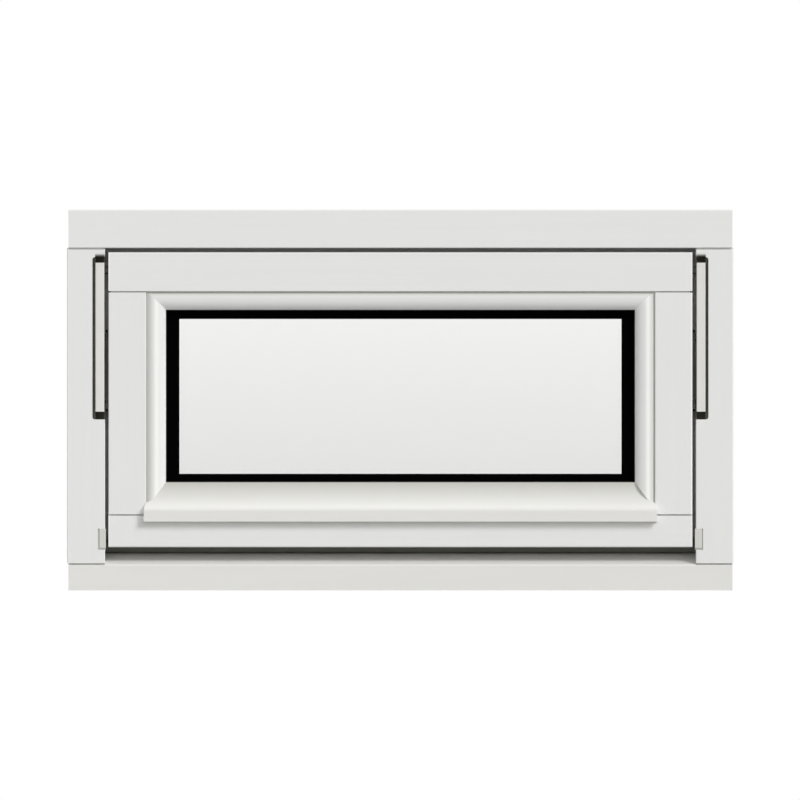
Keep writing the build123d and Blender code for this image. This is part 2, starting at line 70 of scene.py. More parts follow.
# %% Colour management
bpy.context.scene.view_settings.view_transform = "Standard"
bpy.context.scene.view_settings.look = "None"
print("view transform", bpy.context.scene.view_settings.view_transform)

# %% [markdown]
# A material is a tree of nodes. Writing each node's wires by hand hides what the finish does, so two
# helpers do it: one starts a material, the other adds a node with its settings and input values.

# %% Helpers that start a material and add a node


def start_material(name, constants):
    """A material with one Principled shader on its output. The constants are what is the same all over it."""
    material = bpy.data.materials.new(name)
    material.use_nodes = True
    shader = material.node_tree.nodes["Principled BSDF"]
    for key, value in constants.items():
        shader.inputs[key].default_value = value
    return material, material.node_tree, shader


def add_node(tree, kind, inputs=None, **settings):
    """Add a node. An input's value is a constant, or another node's output to wire to it."""
    node = tree.nodes.new(kind)
    for key, value in settings.items():
        setattr(node, key, value)
    for key, value in (inputs or {}).items():
        socket = node.inputs[key]
        if isinstance(value, bpy.types.NodeSocket):
            tree.links.new(value, socket)
        else:
            socket.default_value = value
    return node


print("a material and a node take one call each")

# %% [markdown]
# A few kinds of node come up again and again. Each gets a short name that hands back the node's output,
# ready to wire onwards. First those that work on numbers and places.

# %% Helpers for numbers and places


def combine(tree, operation, first, second):
    """What a Math node makes of two numbers."""
    return add_node(tree, "ShaderNodeMath", {0: first, 1: second}, operation=operation).outputs[0]


def scale_axes(tree, place, scales):
    """A place with each coordinate multiplied by its own scale."""
    return add_node(tree, "ShaderNodeVectorMath", {0: place, 1: scales}, operation="MULTIPLY").outputs[0]


def clouds(tree, place, scale, detail, distortion=0.0):
    """Noise from 0 to 1, with about so many blotches a metre. Each step of detail adds ones half the size."""
    inputs = {"Vector": place, "Scale": scale, "Detail": detail, "Distortion": distortion}
    return add_node(tree, "ShaderNodeTexNoise", inputs).outputs["Fac"]


def spread(tree, value, low, high):
    """A number from 0 to 1 spread between two others."""
    return add_node(tree, "ShaderNodeMapRange", {"Value": value, "To Min": low, "To Max": high}).outputs[0]


print("so do arithmetic, scaling, noise and spreading")

# %% [markdown]
# Then those that mix two things by a share from 0 to 1. The Mix node's sockets are picked by their place:
# the share at 0, numbers at 2 and 3, colours at 6 and 7.

# %% Helpers that mix


def mix_numbers(tree, share, first, second):
    """A number between two others."""
    return add_node(tree, "ShaderNodeMix", {0: share, 2: first, 3: second}, data_type="FLOAT").outputs[0]


def mix_colours(tree, share, first, second, blend="MIX"):
    """A colour between two others, or between the first and its product with the second."""
    inputs = {0: share, 6: first, 7: second}
    return add_node(tree, "ShaderNodeMix", inputs, data_type="RGBA", blend_type=blend).outputs[2]


def mix_shaders(tree, share, first, second):
    """A shader between two others, put on the material's output."""
    mixed = add_node(tree, "ShaderNodeMixShader", {0: share, 1: first.outputs[0], 2: second.outputs[0]})
    tree.links.new(mixed.outputs[0], tree.nodes["Material Output"].inputs["Surface"])


print("and mixing numbers, colours and shaders")

# %% [markdown]
# Several finishes share an effect, such as grain or a fine skin. A node group holds such an effect once, and
# each material places it with its own values. Groups only work out tones, heights, roughness and masks.

# %% Helper that starts a node group
number, vector = "NodeSocketFloat", "NodeSocketVector"


def start_group(name, inputs, outputs):
    """An empty node group. Inputs are (name, kind, default); outputs are (name, kind)."""
    group = bpy.data.node_groups.new(name, "ShaderNodeTree")
    for socket_name, kind, default in inputs:
        socket = group.interface.new_socket(socket_name, in_out="INPUT", socket_type=kind)
        if default is not None:
            socket.default_value = default
    for socket_name, kind in outputs:
        group.interface.new_socket(socket_name, in_out="OUTPUT", socket_type=kind)
    entry = group.nodes.new("NodeGroupInput")
    leave = group.nodes.new("NodeGroupOutput")
    return group, entry.outputs, leave.inputs


print("group sockets are", number, "and", vector)

# %% [markdown]
# Factory paint on planed pine is smooth, but not perfectly: the grain telegraphs through as long shallow
# ridges, and the sprayed film has a faint orange peel. Both are heights, so one group works them out for
# every painted piece, with the grain stretched along whichever way that piece's timber runs.

# %% Group: painted grain
peel_scale = 420.0

grain_group, grain_in, grain_out = start_group(
    "painted_grain",
    [("Vector", vector, None), ("Stretch", vector, (1, 1, 1)), ("Grain", number, 1.0), ("Peel", number, 1.0)],
    [("Tone", number), ("Height", number)],
)
along_grain = scale_axes(grain_group, grain_in["Vector"], grain_in["Stretch"])
rings = clouds(grain_group, along_grain, scale=1.0, detail=4.0, distortion=0.6)
peel = clouds(grain_group, grain_in["Vector"], scale=peel_scale, detail=1.0)
grain_height = combine(grain_group, "MULTIPLY", rings, grain_in["Grain"])
peel_height = combine(grain_group, "MULTIPLY", peel, grain_in["Peel"])
grain_group.links.new(rings, grain_out["Tone"])
grain_group.links.new(combine(grain_group, "ADD", grain_height, peel_height), grain_out["Height"])
print("group", grain_group.name, "with", len(grain_group.nodes), "nodes")

# %% [markdown]
# Metal parts carry two marks: fine lines from drawing or brushing, and broad smudges from handling. The
# lines are noise squeezed hard across one direction. The same group serves the handle and the plated
# steel, each with its own direction and strength.

# %% Group: worked metal
smudge_scale = 28.0
polished, dulled = 0.26, 0.48

metal_group, metal_in, metal_out = start_group(
    "worked_metal",
    [("Vector", vector, None), ("Stretch", vector, (1, 1, 1)), ("Lines", number, 1.0), ("Smudge", number, 1.0)],
    [("Roughness", number), ("Height", number), ("Tone", number)],
)
along_lines = scale_axes(metal_group, metal_in["Vector"], metal_in["Stretch"])
lines = clouds(metal_group, along_lines, scale=1.0, detail=2.0)
smudge = clouds(metal_group, metal_in["Vector"], scale=smudge_scale, detail=3.0)
smudge_amount = combine(metal_group, "MULTIPLY", smudge, metal_in["Smudge"])
metal_group.links.new(spread(metal_group, smudge_amount, polished, dulled), metal_out["Roughness"])
metal_group.links.new(combine(metal_group, "MULTIPLY", lines, metal_in["Lines"]), metal_out["Height"])
metal_group.links.new(smudge, metal_out["Tone"])
print("group", metal_group.name, "with", len(metal_group.nodes), "nodes")

# %% [markdown]
# Rubber, moulded plastic and powder coat share a skin: a very fine even texture from the mould or the
# oven, and a slightly uneven bloom that changes the tone and the gloss.

# %% Group: moulded skin
bloom_scale = 35.0

skin_group, skin_in, skin_out = start_group(
    "moulded_skin",
    [("Vector", vector, None), ("Texture", number, 900.0), ("Low Gloss", number, 0.75), ("High Gloss", number, 0.5)],
    [("Roughness", number), ("Height", number), ("Tone", number)],
)
skin = clouds(skin_group, skin_in["Vector"], scale=skin_in["Texture"], detail=2.0)
bloom = clouds(skin_group, skin_in["Vector"], scale=bloom_scale, detail=3.0)
skin_roughness = spread(skin_group, bloom, skin_in["High Gloss"], skin_in["Low Gloss"])
skin_group.links.new(skin_roughness, skin_out["Roughness"])
skin_group.links.new(skin, skin_out["Height"])
skin_group.links.new(bloom, skin_out["Tone"])
print("group", skin_group.name, "with", len(skin_group.nodes), "nodes")

# %% [markdown]
# Light and shade are painted by place. A painted shade darkens the quirks beside the beads, the slots and
# the sill's corner under the sash, where shade falls, and a painted highlight lightens arrises and ridges.
# Along each axis the group measures how far a point is from a centre, and goes from 0 at the start distance
# to 1 at the full one. A full distance shorter than the start gives a box with soft sides, and a longer one
# gives all that lies beyond it. The three are multiplied, and a little noise breaks them up. The group only
# says how strongly a point is painted, not what colour that makes it.

# %% Group: painted shade and highlight by place
patch_scale = 60.0
vector_from_min, vector_from_max = 7, 8

shading_group, shading_in, shading_out = start_group(
    "painted_shading_place",
    [
        ("Vector", vector, None), ("Centre", vector, (0, 0, 0)), ("Start", vector, (3, 3, 3)),
        ("Full", vector, (2, 2, 2)), ("Patchiness", number, 0.12),
    ],
    [("Mask", number)],
)
from_centre = add_node(
    shading_group, "ShaderNodeVectorMath", {0: shading_in["Vector"], 1: shading_in["Centre"]}, operation="SUBTRACT"
)
how_far = add_node(shading_group, "ShaderNodeVectorMath", {0: from_centre.outputs[0]}, operation="ABSOLUTE")
shading_ramp = add_node(
    shading_group,
    "ShaderNodeMapRange",
    {"Vector": how_far.outputs[0], vector_from_min: shading_in["Start"], vector_from_max: shading_in["Full"]},
    data_type="FLOAT_VECTOR",
)
each_axis = add_node(shading_group, "ShaderNodeSeparateXYZ", {0: shading_ramp.outputs["Vector"]}).outputs
in_section = combine(shading_group, "MULTIPLY", each_axis["X"], each_axis["Y"])
in_box = combine(shading_group, "MULTIPLY", in_section, each_axis["Z"])
patches = clouds(shading_group, shading_in["Vector"], scale=patch_scale, detail=3.0)
missed = combine(shading_group, "MULTIPLY", patches, shading_in["Patchiness"])
reached = combine(shading_group, "SUBTRACT", 1.0, missed)
shading_group.links.new(combine(shading_group, "MULTIPLY", in_box, reached), shading_out["Mask"])
print("group", shading_group.name, "with", len(shading_group.nodes), "nodes")

# %% [markdown]
# Each group gives a tone between 0 and 1. A tone becomes a colour by blending between two close shades of
# the finish, and a height becomes relief through a Bump node. Both steps are the same in every material.

# %% Helpers that turn tone and height into a finish


def place_group(tree, group, **values):
    """Place a node group that reads Object coordinates, with its own values."""
    place = add_node(tree, "ShaderNodeTexCoord")
    node = tree.nodes.new("ShaderNodeGroup")
    node.node_tree = group
    tree.links.new(place.outputs["Object"], node.inputs["Vector"])
    for key, value in values.items():
        node.inputs[key.replace("_", " ")].default_value = value
    return node.outputs


def shade_between(tree, shader, tone, dark, light):
    """Colour the shader between two shades: dark where the tone is 0, light where it is 1."""
    shade = mix_colours(tree, tone, (*dark, 1), (*light, 1))
    tree.links.new(shade, shader.inputs["Base Color"])
    return shade


def raise_relief(tree, shader, height, depth):
    """Raise a height of 0 to 1 by a real depth in metres."""
    relief = add_node(tree, "ShaderNodeBump", {"Height": height, "Distance": depth, "Strength": 1.0})
    tree.links.new(relief.outputs["Normal"], shader.inputs["Normal"])


print("a finish is a tone between two shades, and a height with a depth")

# %% [markdown]
# The paint is the main finish. The head, sill, rails and top bead are cut from timber that runs across,
# and the jambs, stiles and side beads from timber that runs up, so there are two stretches of the same
# grain. The sill and the drip bead take the weather and are a touch warmer and duller than the rest.

# %% Two grains and two whites
grain_fine, grain_long = 150.0, 5.0
across = (grain_long, grain_fine, grain_fine)
upright = (grain_fine, grain_fine, grain_long)
white = (0.795, 0.795, 0.780), (0.825, 0.825, 0.810)
weathered = (0.770, 0.765, 0.737), (0.800, 0.795, 0.767)
grain_depth = 0.03 * millimetre
satin_between, satin_on = 0.52, 0.42
paint_mirror = 0.3
print("white paint from", white[0], "to", white[1])

# %% [markdown]
# A painted material is the grain's two shades, then one multiplied shade for each place of painted
# shading, then relief and gloss. A shade below 1 is a painted shade, and one a little above 1 a painted highlight.

# %% Painted timber


def paint_shading(tree, shader, below, shade, centre, start, full):
    """Multiply a colour by a painted shade or highlight, from not at all at the start distances to fully at the full
    ones.
    """
    mask = place_group(tree, shading_group, Centre=centre, Start=start, Full=full)["Mask"]
    shaded = mix_colours(tree, mask, below, (*shade, 1), blend="MULTIPLY")
    tree.links.new(shaded, shader.inputs["Base Color"])
    return shaded


def painted_timber(name, stretch, shades, *shading_places):
    """White satin paint over planed timber whose grain runs along the least stretched axis."""
    material, tree, shader = start_material(name, {"Specular IOR Level": paint_mirror})
    grain = place_group(tree, grain_group, Stretch=stretch, Grain=1.0, Peel=0.25)
    paint = shade_between(tree, shader, grain["Tone"], *shades)
    for shade, centre, start, full in shading_places:
        paint = paint_shading(tree, shader, paint, shade, centre, start, full)
    raise_relief(tree, shader, grain["Height"], grain_depth)
    tree.links.new(spread(tree, grain["Tone"], satin_between, satin_on), shader.inputs["Roughness"])
    return material


print("painted timber takes a name, a grain, two shades and its aged places")

# %% [markdown]
# A place of painted shading is a shade, a centre and the two distances along each axis. Two helpers write
# them: a soft box, limited on every side, and a band, limited along one axis. An unlimited axis has
# distances that lie far beyond the window.

# %% Helpers for places of painted shading
unlimited_start, unlimited_full = 3.0, 2.0


def soft_box(shade, centre, start, full):
    """A place of painted shading round a centre in metres, with both distances along x, y and z in millimetres."""
    return shade, centre, tuple(millimetre * np.array(start)), tuple(millimetre * np.array(full))


def band(axis, centre, start, full, shade):
    """A place of painted shading limited along one axis. Start and full are coordinates on one side of the centre.
    """
    centres, starts, fulls = [0.0] * 3, [unlimited_start] * 3, [unlimited_full] * 3
    centres[axis], starts[axis], fulls[axis] = centre, abs(start - centre), abs(full - centre)
    return shade, centres, starts, fulls


print("an unlimited axis is fully aged within", unlimited_full, "m")

# %% [markdown]
# A painted shade darkens the slots in the jambs from where the face turns in, as their own shadow would.
# Each takes two boxes. The wider covers the whole slot. The narrower is about as wide as the track, and so
# only shows above and below it, where the slot is darkest.

# %% Painted shade in the slots
frame_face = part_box("frame_jamb_left")[0].y
track_low, track_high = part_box("guide_track_right")
track_x = (track_low.x + track_high.x) / 2
slot_x = track_x + 1.2 * millimetre
slot_y = frame_face + 30 * millimetre
slot_z = (track_low.z + track_high.z) / 2
slot_shadow_shade, slot_end_shadow_shade = (0.50, 0.50, 0.43), (0.16, 0.16, 0.12)

slot_shadows = []
for side in (-1, 1):
    whole_slot, behind_track = (side * slot_x, slot_y, slot_z), (side * track_x, slot_y, slot_z)
    slot_shadows.append(soft_box(slot_shadow_shade, whole_slot, (9.0, 30.0, 103.5), (7.8, 28.5, 102.0)))
    slot_shadows.append(soft_box(slot_end_shadow_shade, behind_track, (5.8, 30.0, 103.0), (4.4, 28.5, 101.5)))
print("soiled boxes in the slots", len(slot_shadows))

# %% [markdown]
# A painted shadow darkens the corner where the sill's slope meets the upstand behind the sash, which
# shades it. The same box darkens the feet of the jambs, so the dark goes round the corner without a break.

# %% Painted shadow on the sill
sill_shadow_shade = (0.20, 0.20, 0.165)
under_sash = (0.0, -0.5 * millimetre, 52 * millimetre)
sill_shadow = soft_box(sill_shadow_shade, under_sash, (352.0, 9.0, 18.5), (349.0, 2.6, 7.0))
print("sill is soiled round", under_sash)

# %% [markdown]
# A painted shade darkens the quirk between a bead and the sash, where shade gathers, and fades towards the
# glass over the width given here. The drip bead's slope is long, so its painted shade, darkest at the glass, fades
# over a longer way.

# %% Painted shade in the quirks
quirk_shadow_shade, head_quirk_shadow_shade, drip_shadow_shade = (0.70, 0.70, 0.67), (0.62, 0.62, 0.59), (0.67, 0.67, 0.64)
quirk_width, head_quirk_width, drip_slope = 8 * millimetre, 6.5 * millimetre, 29 * millimetre
quirk_shadow = band(0, 0.0, bead_high.x - quirk_width, bead_high.x, quirk_shadow_shade)
head_quirk_shadow = band(2, 0.0, bead_top_high.z - head_quirk_width, bead_top_high.z, head_quirk_shadow_shade)
drip_shadow = band(2, 0.0, sight_bottom - drip_slope, sight_bottom, drip_shadow_shade)
print("quirks fade over", round(quirk_width / millimetre, 1), "mm")

# %% [markdown]
# A painted highlight lightens what stands proud: the arrises of the sash and of the frame's outer edge,
# and the ridge of each side bead. The left bead's highlight lies a little nearer to the glass.

# %% Painted highlights on arrises and ridges
arris_highlight, ridge_highlight = (1.16, 1.16, 1.155), (1.13, 1.13, 1.12)
ridge_start, ridge_full = 3.4 * millimetre, 1.3 * millimetre
frame_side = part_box("frame_jamb_right")[1].x

sash_arris_highlight = band(0, 0.0, sash_side - 1.7 * millimetre, sash_side - 0.9 * millimetre, arris_highlight)
frame_arris_highlight = (
    arris_highlight,
    (0.0, 0.0, 0.0),
    (frame_side - 1.8 * millimetre, -frame_face - 2.4 * millimetre, unlimited_start),
    (frame_side - 1.0 * millimetre, -frame_face - 1.6 * millimetre, unlimited_full),
)
left_ridge, right_ridge = 12.2 * millimetre - bead_high.x, bead_high.x - 8.2 * millimetre
ridge_highlights = [band(0, x, x - ridge_start, x - ridge_full, ridge_highlight) for x in (left_ridge, right_ridge)]
print("ridges at", [round(x, 4) for x in (left_ridge, right_ridge)])

# %% [markdown]
# With the grains, the whites and the places of painted shade and highlight named, each paint is one line.

# %% The paints
frame_across = painted_timber("frame_paint_across", across, white)
frame_upright = painted_timber("frame_paint_upright", upright, white, sill_shadow, frame_arris_highlight, *slot_shadows)
sash_across = painted_timber("sash_paint_across", across, white, sash_arris_highlight)
sash_upright = painted_timber("sash_paint_upright", upright, white, sash_arris_highlight)
bead_across = painted_timber("bead_paint_across", across, white, head_quirk_shadow)
bead_upright = painted_timber("bead_paint_upright", upright, white, quirk_shadow, *ridge_highlights)
sill_paint = painted_timber("sill_paint", across, weathered, sill_shadow)
drip_paint = painted_timber("drip_bead_paint", across, weathered, drip_shadow)
print("paints from", frame_across.name, "to", drip_paint.name)

# %% [markdown]
# The glass is real glass with real thickness, so it bends and mirrors by itself. Light reaching what lies
# behind it would have to be traced as a caustic; instead its shadow rays pass straight through, which a
# clear pane does anyway. The outer pane's colour is darker towards its foot, a painted shade.

# %% Glass
shadow_tint = (0.9, 0.92, 0.91, 1.0)


def clear_glass(name, head_tint, foot_tint):
    """Clear glass, tinted from one shade at its top edge to another at its foot."""
    material, tree, shader = start_material(name, {"Roughness": 0.0, "IOR": 1.5, "Transmission Weight": 1.0})
    place = add_node(tree, "ShaderNodeTexCoord")
    axes = add_node(tree, "ShaderNodeSeparateXYZ", {0: place.outputs["Object"]})
    rise = add_node(
        tree, "ShaderNodeMapRange", {"Value": axes.outputs["Z"], "From Min": sight_bottom, "From Max": sight_top}
    )
    shade_between(tree, shader, rise.outputs[0], foot_tint, head_tint)
    path = add_node(tree, "ShaderNodeLightPath")
    clear = add_node(tree, "ShaderNodeBsdfTransparent", {"Color": shadow_tint})
    mix_shaders(tree, path.outputs["Is Shadow Ray"], shader, clear)
    return material


# painted shade: the outer pane's tint falls from its top edge to its foot
outer_glass = clear_glass("outer_glass", (0.935, 0.935, 0.93), (0.815, 0.815, 0.81))
inner_glass = clear_glass("inner_glass", (0.99, 0.99, 0.985), (0.985, 0.985, 0.98))
print("glass", outer_glass.name, inner_glass.name)

# %% [markdown]
# Rubber, plastic and powder coat differ in colour, in how fine their texture is and in how glossy they
# are. One function makes them all from the moulded skin. Mirror is Blender's specular level, 0.5 for
# most things; the spacer behind two panes needs almost none, or the panes' light would grey it.

# %% Moulded finishes


def moulded(name, dark, light, texture, low_gloss, high_gloss, depth, mirror=0.5):
    """A coat or a moulding with a fine texture and an uneven bloom."""
    material, tree, shader = start_material(name, {"Specular IOR Level": mirror})
    marks = place_group(tree, skin_group, Texture=texture, Low_Gloss=low_gloss, High_Gloss=high_gloss)
    shade_between(tree, shader, marks["Tone"], dark, light)
    raise_relief(tree, shader, marks["Height"], depth)
    tree.links.new(marks["Roughness"], shader.inputs["Roughness"])
    return material


print("moulded finishes come from", skin_group.name)

# %% [markdown]
# The blacks come first: the rubber of the gaskets and the seal, and the warm-edge spacer between the panes.

# %% Black rubber and black spacer
black_rubber = moulded(
    "black_rubber", (0.010, 0.010, 0.010), (0.022, 0.022, 0.020),
    texture=700.0, low_gloss=0.9, high_gloss=0.6, depth=0.02 * millimetre,
)
black_spacer = moulded(
    "black_spacer", (0.001, 0.001, 0.001), (0.002, 0.002, 0.002),
    texture=500.0, low_gloss=0.95, high_gloss=0.8, depth=0.01 * millimetre, mirror=0.02,
)
print("blacks", black_rubber.name, black_spacer.name)

# %% [markdown]
# Then the plastics: pale run-up blocks, grey nylon shoes, and blue setting blocks under the glass. The
# aluminium track has a light grey coat baked on, which hides the metal and leaves only a fine skin.

# %% Plastics and track coat
pale_plastic = moulded(
    "pale_plastic", (0.63, 0.63, 0.59), (0.67, 0.67, 0.625),
    texture=900.0, low_gloss=0.6, high_gloss=0.45, depth=0.01 * millimetre,
)
grey_nylon = moulded(
    "grey_nylon", (0.10, 0.10, 0.10), (0.14, 0.14, 0.135),
    texture=900.0, low_gloss=0.6, high_gloss=0.4, depth=0.01 * millimetre,
)
blue_packer = moulded(
    "blue_packer", (0.05, 0.09, 0.28), (0.07, 0.12, 0.34),
    texture=600.0, low_gloss=0.6, high_gloss=0.45, depth=0.02 * millimetre,
)
track_coat = moulded(
    "track_coat", (0.725, 0.715, 0.68), (0.775, 0.765, 0.73),
    texture=1400.0, low_gloss=0.5, high_gloss=0.4, depth=0.01 * millimetre,
)
print("plastics", pale_plastic.name, grey_nylon.name, blue_packer.name, track_coat.name)

# %% [markdown]
# Metal: the arms, anchors, plates and their screws are steel under a dark passivated zinc plate, and the
# handle is satin aluminium, brushed along the lever.

# %% Metals
line_fine, line_long = 2500.0, 30.0
drawn_up = (line_fine, line_fine, line_long)
drawn_across = (line_long, line_fine, line_fine)


def worked(name, dark, light, stretch, depth, smudges):
    """Metal with fine lines along its least stretched axis and faint smudges."""
    material, tree, shader = start_material(name, {"Metallic": 1.0})
    marks = place_group(tree, metal_group, Stretch=stretch, Lines=1.0, Smudge=smudges)
    shade_between(tree, shader, marks["Tone"], dark, light)
    raise_relief(tree, shader, marks["Height"], depth)
    tree.links.new(marks["Roughness"], shader.inputs["Roughness"])
    return material


dark_steel = worked(
    "dark_plated_steel", (0.06, 0.06, 0.055), (0.10, 0.10, 0.095), drawn_up, depth=0.01 * millimetre, smudges=1.2
)
handle_metal = worked(
    "handle_metal", (0.66, 0.66, 0.65), (0.74, 0.74, 0.73), drawn_across, depth=0.008 * millimetre, smudges=1.0
)
print("metals", dark_steel.name, handle_metal.name)

# %% [markdown]
# Every solid now gets its finish. The table goes from finish to the solids that have it, which is how a
# workshop would list them, and a print lists any solid left out.

# %% Hand out the finishes


def both(name):
    """The names of a left and a right solid."""
    return [name + "_left", name + "_right"]


finishes = {
    frame_across: ["frame_head"],
    frame_upright: both("frame_jamb"),
    sill_paint: ["frame_sill"],
    sash_across: ["sash_top_rail", "sash_bottom_rail"],
    sash_upright: both("sash_stile"),
    bead_across: ["bead_top"],
    bead_upright: both("bead"),
    drip_paint: ["drip_bead"],
    outer_glass: ["outer_pane"],
    inner_glass: ["inner_pane"],
    black_rubber: ["outer_gasket", "inner_gasket", "seal_head", "seal_sill"] + both("seal_jamb"),
    black_spacer: ["edge_spacer"],
    pale_plastic: both("run_up_block"),
    grey_nylon: both("slide_shoe"),
    blue_packer: ["setting_blocks"],
    track_coat: both("guide_track"),
    dark_steel: both("arm_anchor") + both("support_arm") + both("sash_plate"),
    handle_metal: ["handle_rose", "handle_lever"],
}
for finish, names in finishes.items():
    for name in names:
        solid = parts[name]
        solid.data.materials.clear()
        solid.data.materials.append(finish)
finished = {name for names in finishes.values() for name in names}
print("finished", len(finished), "of", len(parts), "left out:", sorted(set(parts) - finished))

# %% [markdown]
# From here on come the pieces that are easier to make as surfaces than as solids. Each is a grid of points
# worked out by a formula: rows along the piece, and columns round it that join up. The first helper shuts
# such a grid. A ring's last row joins its first; any other piece shuts to a point at each end.

# %% Helper that closes a grid of points


def close_grid(rows, ring=False):
    """Points and faces of a closed surface through a grid of rows.

    Square (i, j) has the corners (i, j), (i, j + 1), (i + 1, j + 1) and (i + 1, j), counted round. Unless it
    is a ring, the first and last row each give one point, their mean, and a fan of triangles joins it on.
    The sum of p0 . (p1 x p2) over the triangles is six times the volume; if it is negative the faces turn.
    """
    around = rows.shape[1]
    first = np.arange(around)
    after = (first + 1) % around
    body = rows if ring else rows[1:-1]
    steps = np.arange(len(body) if ring else len(body) - 1)[:, None]
    here, there = steps * around, (steps + 1) % len(body) * around
    squares = np.stack([here + first, here + after, there + after, there + first], axis=-1).reshape(-1, 4)
    points = body.reshape(-1, 3)
    fans = np.empty((0, 3), int)
    if not ring:
        low, high = len(points), len(points) + 1
        last = (len(body) - 1) * around
        low_fan = np.stack([np.full(around, low), after, first], axis=-1)
        high_fan = np.stack([np.full(around, high), last + first, last + after], axis=-1)
        fans = np.concatenate([low_fan, high_fan])
        points = np.concatenate([points, rows[:1].mean(axis=1), rows[-1:].mean(axis=1)])
    triangles = np.concatenate([squares[:, [0, 1, 2]], squares[:, [0, 2, 3]], fans])
    a, b, c = points[triangles[:, 0]], points[triangles[:, 1]], points[triangles[:, 2]]
    if np.sum(a * np.cross(b, c)) < 0:
        squares, fans = squares[:, ::-1], fans[:, ::-1]
    return points, squares, fans


double_pyramid = close_grid(np.array([[(0, 0, 0)] * 3, [(1, 0, 1), (0, 1, 1), (-1, -1, 1)], [(0, 0, 2)] * 3], float))
print("a double pyramid has", len(double_pyramid[0]), "points and", len(double_pyramid[2]), "triangles")

# %% [markdown]
# The second helper turns a closed surface into a mesh, and can repeat it at several places, as screws
# need. It is smooth except where two faces meet at more than the crease angle. Every piece rides on the
# one body, because nothing in this window moves, and gets its finish.

# %% Helper that makes a piece
crease_angle = 40.0


def add_piece(name, surface, finish, places=((0.0, 0.0, 0.0),)):
    """Make one mesh of a closed surface, repeated at each place, and smooth except at creases."""
    points, squares, fans = surface
    shifts = np.array(places)
    every_point = (points[None] + shifts[:, None]).reshape(-1, 3)
    start = np.arange(len(shifts))[:, None, None] * len(points)
    faces = (squares + start).reshape(-1, 4).tolist() + (fans + start).reshape(-1, 3).tolist()
    mesh = bpy.data.meshes.new(name)
    mesh.from_pydata(every_point.tolist(), [], faces)
    mesh.polygons.foreach_set("use_smooth", np.ones(len(faces), bool))
    mesh.set_sharp_from_angle(angle=math.radians(crease_angle))
    mesh.materials.append(finish)
    piece = bpy.data.objects.new(name, mesh)
    bpy.context.scene.collection.objects.link(piece)
    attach(piece, "root")
    print("piece", name, len(faces), "faces")
    return piece


print("edges sharper than", crease_angle, "degrees stay sharp")

# %% [markdown]
# Rubber is extruded: one flat profile, the same all along. Two more helpers draw such a profile's curves
# and carry it round the window's rectangle, with a mitre at each corner as the fitter cuts it.

# %% Helpers for profiles


def arc(centre, radius, start, end, count):
    """Points centre + radius (cos a, sin a), with a from start to end in degrees."""
    angle = np.radians(np.linspace(start, end, count))
    return np.array(centre) + radius * np.stack([np.cos(angle), np.sin(angle)], axis=-1)


def ring_round(profile, half_width, half_height, middle):
    """Rows of a profile carried round a rectangle and mitred at its corners.

    A profile point (r, y) gives four corners: (+-(half_width + r), y, middle +- (half_height + r)).
    """
    side = np.array([(1, 1), (-1, 1), (-1, -1), (1, -1)], float)
    outward, depth = profile[:, :1], profile[:, 1:]
    x = side[:, 0] * (half_width + outward)
    z = middle + side[:, 1] * (half_height + outward)
    return np.stack([x, np.broadcast_to(depth, x.shape), z], axis=-1)


print("a quarter circle in 3 points:", arc((0, 0), 1, 0, 90, 3).round(2).tolist())

# %% [markdown]
# The weather seal is one length of extruded rubber, pushed into a groove in the frame's stop and mitred at
# the corners, not four bars. Its bulb is squeezed against the back of the sash, a short lip lies outward
# on the stop to cover the joint between paint and rubber, and a barbed stem holds it in the groove. The
# stem's two sides mirror each other. Sizes are in millimetres, across the seal and into the stop.

# %% Section of the weather seal
seal_band = 7.0
bulb_round = 2.6
stop_face = 3.0
stem_side, barb_tip = 4.1, 4.9
bulb_points, lip_angle = 9, 352

bulb = np.concatenate([
    arc((bulb_round, bulb_round), bulb_round, 180, 270, bulb_points),
    arc((seal_band - bulb_round, bulb_round), bulb_round, 270, lip_angle, bulb_points),
])
lip = np.array([(7.6, 2.3), (8.3, 2.35), (8.8, 2.7), (8.7, stop_face), (seal_band, stop_face)])
barbed_side = np.array([
    (stem_side, stop_face), (barb_tip, 4.4), (stem_side, 4.4), (barb_tip, 5.9), (stem_side, 5.9),
    (barb_tip, 7.4), (4.0, 7.98),
])
other_side = barbed_side[::-1] * (-1, 1) + (seal_band, 0)
seal_profile = millimetre * np.concatenate([bulb, lip, barbed_side, other_side, [(0.0, stop_face)]])
print("seal section has", len(seal_profile), "points")

# %% [markdown]
# The section is carried round at the inner edge of the four seal solids, which it stands for.

# %% Weather seal
seal_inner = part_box("seal_jamb_right")[0].x
seal_top, seal_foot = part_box("seal_head")[0].z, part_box("seal_sill")[1].z
seal_rows = ring_round(seal_profile, seal_inner, (seal_top - seal_foot) / 2, (seal_top + seal_foot) / 2)
weather_seal = add_piece("weather_seal", close_grid(seal_rows, ring=True), black_rubber)
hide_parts("seal_head", "seal_sill", "seal_jamb_left", "seal_jamb_right")

# %% [markdown]
# The glazing gaskets are rubber strips between glass and timber. What shows is a rounded nose about a
# millimetre wide all round the sight line. The profile is a flat strip whose inner edge is half a circle.

# %% Glazing gaskets
gasket_showing = 1.0 * millimetre
gasket_band = 8.0 * millimetre
nose_points = 13


def glazing_gasket(name):
    """A flat strip with a half-round nose, carried round the glass between the depths of the solid it replaces."""
    low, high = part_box(name)
    half = (high.y - low.y) / 2
    nose = arc((half, half), half, 270, 90, nose_points)
    profile = np.concatenate([nose, [(gasket_band, 2 * half), (gasket_band, 0.0)]]) + (0.0, low.y)
    half_width, half_height = sight_half_width - gasket_showing, sight_half_height - gasket_showing
    rows = ring_round(profile, half_width, half_height, sight_middle)
    piece = add_piece(name + "_strip", close_grid(rows, ring=True), black_rubber)
    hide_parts(name)


glazing_gasket("outer_gasket")
glazing_gasket("inner_gasket")

# %% [markdown]
# The handle is a casting: a round neck that bends into a flattened lever with soft edges. It is one section
# carried along one path. The path's lengths come from the solid's box, so that the casting fills it.

